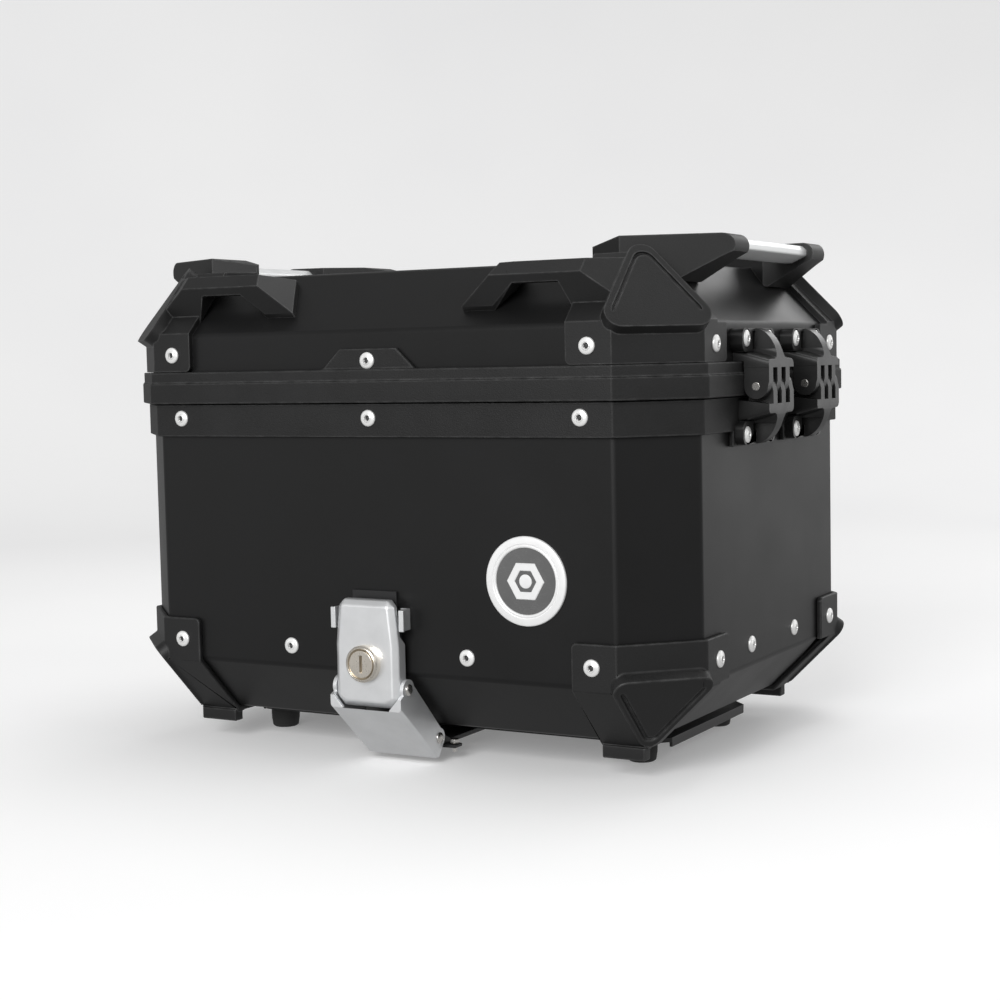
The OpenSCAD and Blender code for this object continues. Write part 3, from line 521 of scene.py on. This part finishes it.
def badge():
    """A bright rim with two turned grooves, a smoky domed face and a plain six-sided emblem."""
    low, high = (Vector(c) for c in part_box("badge_ring"))
    place = outward(low, high, Y)
    for node, profile in (("badge_ring", BADGE_RIM), ("badge_disc", BADGE_FACE)):
        bm = bmesh.new()
        lathe(bm, profile, place, steps=128)
        finish_lathe(bm, node)
    bm = bmesh.new()
    lathe(bm, EMBLEM_RING, place, steps=6)
    lathe(bm, EMBLEM_BOSS, place)
    bmesh.ops.recalc_face_normals(bm, faces=bm.faces)
    mesh = plain_mesh(bm, "badge_emblem")
    mesh.set_sharp_from_angle(angle=EMBLEM_CREASE)
    add_object(mesh, "badge_ring")


# mm: the radius behind the flange, the flange's thickness, and the air round the plug
LOCK_BARREL, LOCK_FLANGE, LOCK_GAP = 9.4, 5, 0.1


def lock(ring, plug):
    """A turned lock housing: a rounded flange with a dark groove round the plug."""
    low, high = (Vector(c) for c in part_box(ring))
    plug_low, plug_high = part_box(plug)
    axis = Y if high[Y] < 0 else X
    rim = (high[Z] - low[Z]) / 2 / MM
    bore = (plug_high[Z] - plug_low[Z]) / 2 / MM + LOCK_GAP
    back = (low[axis] - high[axis]) / MM
    barrel = [(bore, back), (LOCK_BARREL, back), (LOCK_BARREL, -LOCK_FLANGE)]
    flange = [(rim, -LOCK_FLANGE), (rim, -1.7), (rim - 0.25, -0.9), (rim - 0.8, -0.3),
              (rim - 1.6, 0)]
    groove = [(bore + 1.4, 0), (bore + 1.05, -0.15), (bore + 0.8, -0.6), (bore + 0.5, -1.6),
              (bore, -1.9), (bore, back)]
    bm = bmesh.new()
    lathe(bm, barrel + flange + groove, outward(low, high, axis), steps=96)
    finish_lathe(bm, ring)


CORNERS = ("front_right", "front_left", "rear_right", "rear_left")
ENDS = ("front", "rear")
ROUNDING = {  # width in mm: nodes
    0.5: ["base_plate", "latch_bracket", "rear_hooks", "mount_catch",
          "lid_catch", "lid_latch_bracket", "mount_pads"],
    0.9: ["body_collar", "lid_frame"]
         + ["guard_" + c for c in CORNERS] + ["lid_corner_" + c for c in CORNERS]
         + ["rail_tube_right", "rail_tube_left"],
    0.7: ["hinge_upper_" + e for e in ENDS] + ["hinge_lower_" + e for e in ENDS],
    0.4: ["mount_catch_ears", "mount_lock_plug", "lid_lock_plug", "bracket_bolts",
          "spring_washers", "lid_seal"]
         + ["foot_" + c for c in CORNERS],
    0.25: ["mount_pin_upper", "mount_pin_lower", "lid_pin_upper", "lid_pin_lower"]
          + ["hinge_pin_" + e for e in ENDS] + ["mount_lock_cam", "lid_lock_cam", "bottom_pan"],
}
for width, nodes in ROUNDING.items():
    for node in nodes:
        refine(node, width)
for node in ("mount_cover", "lid_latch_cover"):
    refine(node, 1, segments=3)
refine("mount_link", 0.9, link_across=X)
refine("lid_link", 0.9, link_across=Y)
lock("mount_lock_ring", "mount_lock_plug")
lock("lid_lock_ring", "lid_lock_plug")
for node in ("body_rivets", "lid_rivets", "latch_rivets",
             "hinge_lower_screws", "hinge_upper_screws"):
    rivets(node)
folded_sheet("body_shell")
folded_sheet("lid_shell")
badge()


# ---------- stage, light and camera ----------

CASE_MIDDLE = Vector((0, 0, 0.16))


def make_stage():
    """A pale studio bowl: floor, a wide curve and a wall all round."""
    radius, curve, height, steps = 2.8, 1.3, 3.4, 96
    bend = [math.radians(a) for a in range(6, 91, 6)]
    profile = [(radius - curve, 0.0)]
    profile += [(radius - curve + curve * math.sin(a), curve - curve * math.cos(a)) for a in bend]
    profile.append((radius, height))
    turns = [t * math.tau / steps for t in range(steps)]
    bm = bmesh.new()
    rings = [[bm.verts.new((r * math.cos(t), r * math.sin(t), z)) for t in turns]
             for r, z in profile]
    bm.faces.new(rings[0])
    for low, high in zip(rings, rings[1:]):
        for i in range(steps):
            j = (i + 1) % steps
            bm.faces.new((low[i], low[j], high[j], high[i]))
    bmesh.ops.recalc_face_normals(bm, faces=bm.faces)
    mesh = plain_mesh(bm, "studio")
    m = Nodes("studio_paper")
    tone = m.ramp(m.noise(1.4, 3), 0.35, 0.65, 0.0, 1.0)
    m.set(
        Base_Color=m.mix(tone, rgb(0.80, 0.80, 0.805), rgb(0.84)),
        Roughness=0.9,
        Specular_IOR_Level=0.2,
        Emission_Color=rgb(1.0),
        Emission_Strength=0.2,
    )
    mesh.materials.append(m.material)
    studio = bpy.data.objects.new("studio", mesh)
    bpy.context.scene.collection.objects.link(studio)
    # lights shine in through it, and it isn't mirrored in the case
    studio.visible_diffuse = False
    studio.visible_shadow = False
    studio.visible_glossy = False


def area_light(name, place, size, watts):
    """A soft box aimed at the middle of the case, with its place and sides in metres."""
    light = bpy.data.lights.new(name, "AREA")
    light.shape = "RECTANGLE"
    light.size, light.size_y = size
    light.energy = watts
    obj = bpy.data.objects.new(name, light)
    bpy.context.scene.collection.objects.link(obj)
    obj.location = place
    obj.rotation_mode = "QUATERNION"
    obj.rotation_quaternion = (CASE_MIDDLE - Vector(place)).to_track_quat("-Z", "Y")
    obj.visible_camera = False


def make_camera():
    """The photograph's camera: 65.6 mm on a 36 mm sensor, a little above the case's middle."""
    eye = (0.6111, -1.07446, 0.2514)
    yaw, pitch, roll = 0.514, 0.078, -0.021  # radians, positive to the left, down, anticlockwise
    ahead = Vector((-math.sin(yaw) * math.cos(pitch), math.cos(yaw) * math.cos(pitch),
                    -math.sin(pitch)))
    side = Vector((math.cos(yaw), math.sin(yaw), 0))
    up = side.cross(ahead)
    right = math.cos(roll) * side + math.sin(roll) * up
    top = -math.sin(roll) * side + math.cos(roll) * up
    turn = Matrix((right, top, -ahead)).transposed().to_4x4()
    camera = bpy.data.objects.new("camera", bpy.data.cameras.new("camera"))
    camera.data.lens = 65.61
    camera.data.sensor_width = 36
    camera.data.clip_start, camera.data.clip_end = 0.05, 50
    bpy.context.scene.collection.objects.link(camera)
    camera.matrix_world = Matrix.Translation(eye) @ turn
    bpy.context.scene.camera = camera


def make_light():
    """Soft boxes round the case and one above, with a faint even light from all sides."""
    area_light("key_right", (3.0, -0.35, 1.45), (1.4, 1.75), 12)
    area_light("sheen_right", (2.0, 2.75, 0.55), (2.1, 1.7), 11)
    area_light("sheen_back", (0.55, 3.1, 1.7), (1.7, 1.1), 15)
    area_light("top", (0.1, 0.5, 1.8), (1.2, 1.0), 8)
    area_light("front", (0.5, -3.0, 1.4), (1.5, 1.5), 76)
    area_light("front_left", (-2.0, -2.4, 0.4), (1.6, 1.4), 4)
    world = bpy.data.worlds.new("studio_air")
    world.use_nodes = True
    background = world.node_tree.nodes["Background"]
    background.inputs["Color"].default_value = rgb(1.0)
    background.inputs["Strength"].default_value = 0.4
    bpy.context.scene.world = world
    bpy.context.scene.view_settings.view_transform = "Standard"


make_stage()
make_light()
make_camera()
